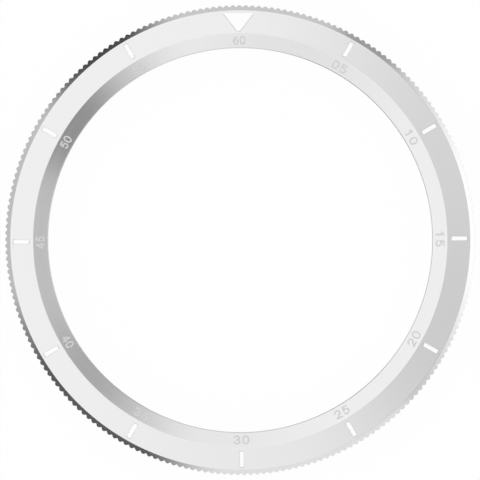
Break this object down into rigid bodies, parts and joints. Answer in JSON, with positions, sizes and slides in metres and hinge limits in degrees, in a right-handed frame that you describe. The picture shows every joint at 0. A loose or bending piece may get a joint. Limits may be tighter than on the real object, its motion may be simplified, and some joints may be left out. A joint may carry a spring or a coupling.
{
  "type": "watch bezel",
  "caption": "Rotating timing bezel of a diver's watch: coin-edged ring with a two-slope insert and white markers, on a seat ring with a click spring.",
  "frame": {"origin": "centre of the ring on the seat ring's lower face, which rests on the watch case", "axes": "+Z along the ring's axis towards the wearer, +Y towards the sixty-minute marker, +X towards the fifteen-minute marker"},
  "size_m": [0.04, 0.04, 0.0033],
  "materials": {
    "satin_steel": "fine turned stainless steel",
    "edge_steel": "bright turned and milled stainless steel",
    "insert_steel": "satin stainless steel, turned round the ring",
    "spring_steel": "cold-rolled spring steel, smooth",
    "pin_steel": "drawn steel pin, cut square",
    "ratchet_steel": "milled steel",
    "wire_steel": "drawn spring wire, bright",
    "gasket_rubber": "matte nitrile rubber",
    "adhesive_film": "double-sided adhesive film",
    "lume_white": "matte luminous filling, white by day"
  },
  "bodies": {
    "seat": {"seat_ring": "satin_steel", "click_spring": "spring_steel", "spring_pins": "pin_steel", "neck_gasket": "gasket_rubber"},
    "bezel": {"bezel_ring": "edge_steel", "ratchet_ring": "ratchet_steel", "retaining_wire": "wire_steel", "insert_adhesive": "adhesive_film", "insert_ring": "insert_steel", "lume_triangle": "lume_white", "lume_bar_05": "lume_white", "lume_bar_10": "lume_white", "lume_bar_15": "lume_white", "lume_bar_20": "lume_white", "lume_bar_25": "lume_white", "lume_bar_30": "lume_white", "lume_bar_35": "lume_white", "lume_bar_40": "lume_white", "lume_bar_45": "lume_white", "lume_bar_50": "lume_white", "lume_bar_55": "lume_white"}
  },
  "joints": [
    {"name": "bezel_turn", "type": "hinge", "parent": "seat", "child": "bezel", "pos_m": [0, 0, 0], "axis": [0, 0, 1], "continuous": true, "deforming": ["click_spring"]}
  ]
}
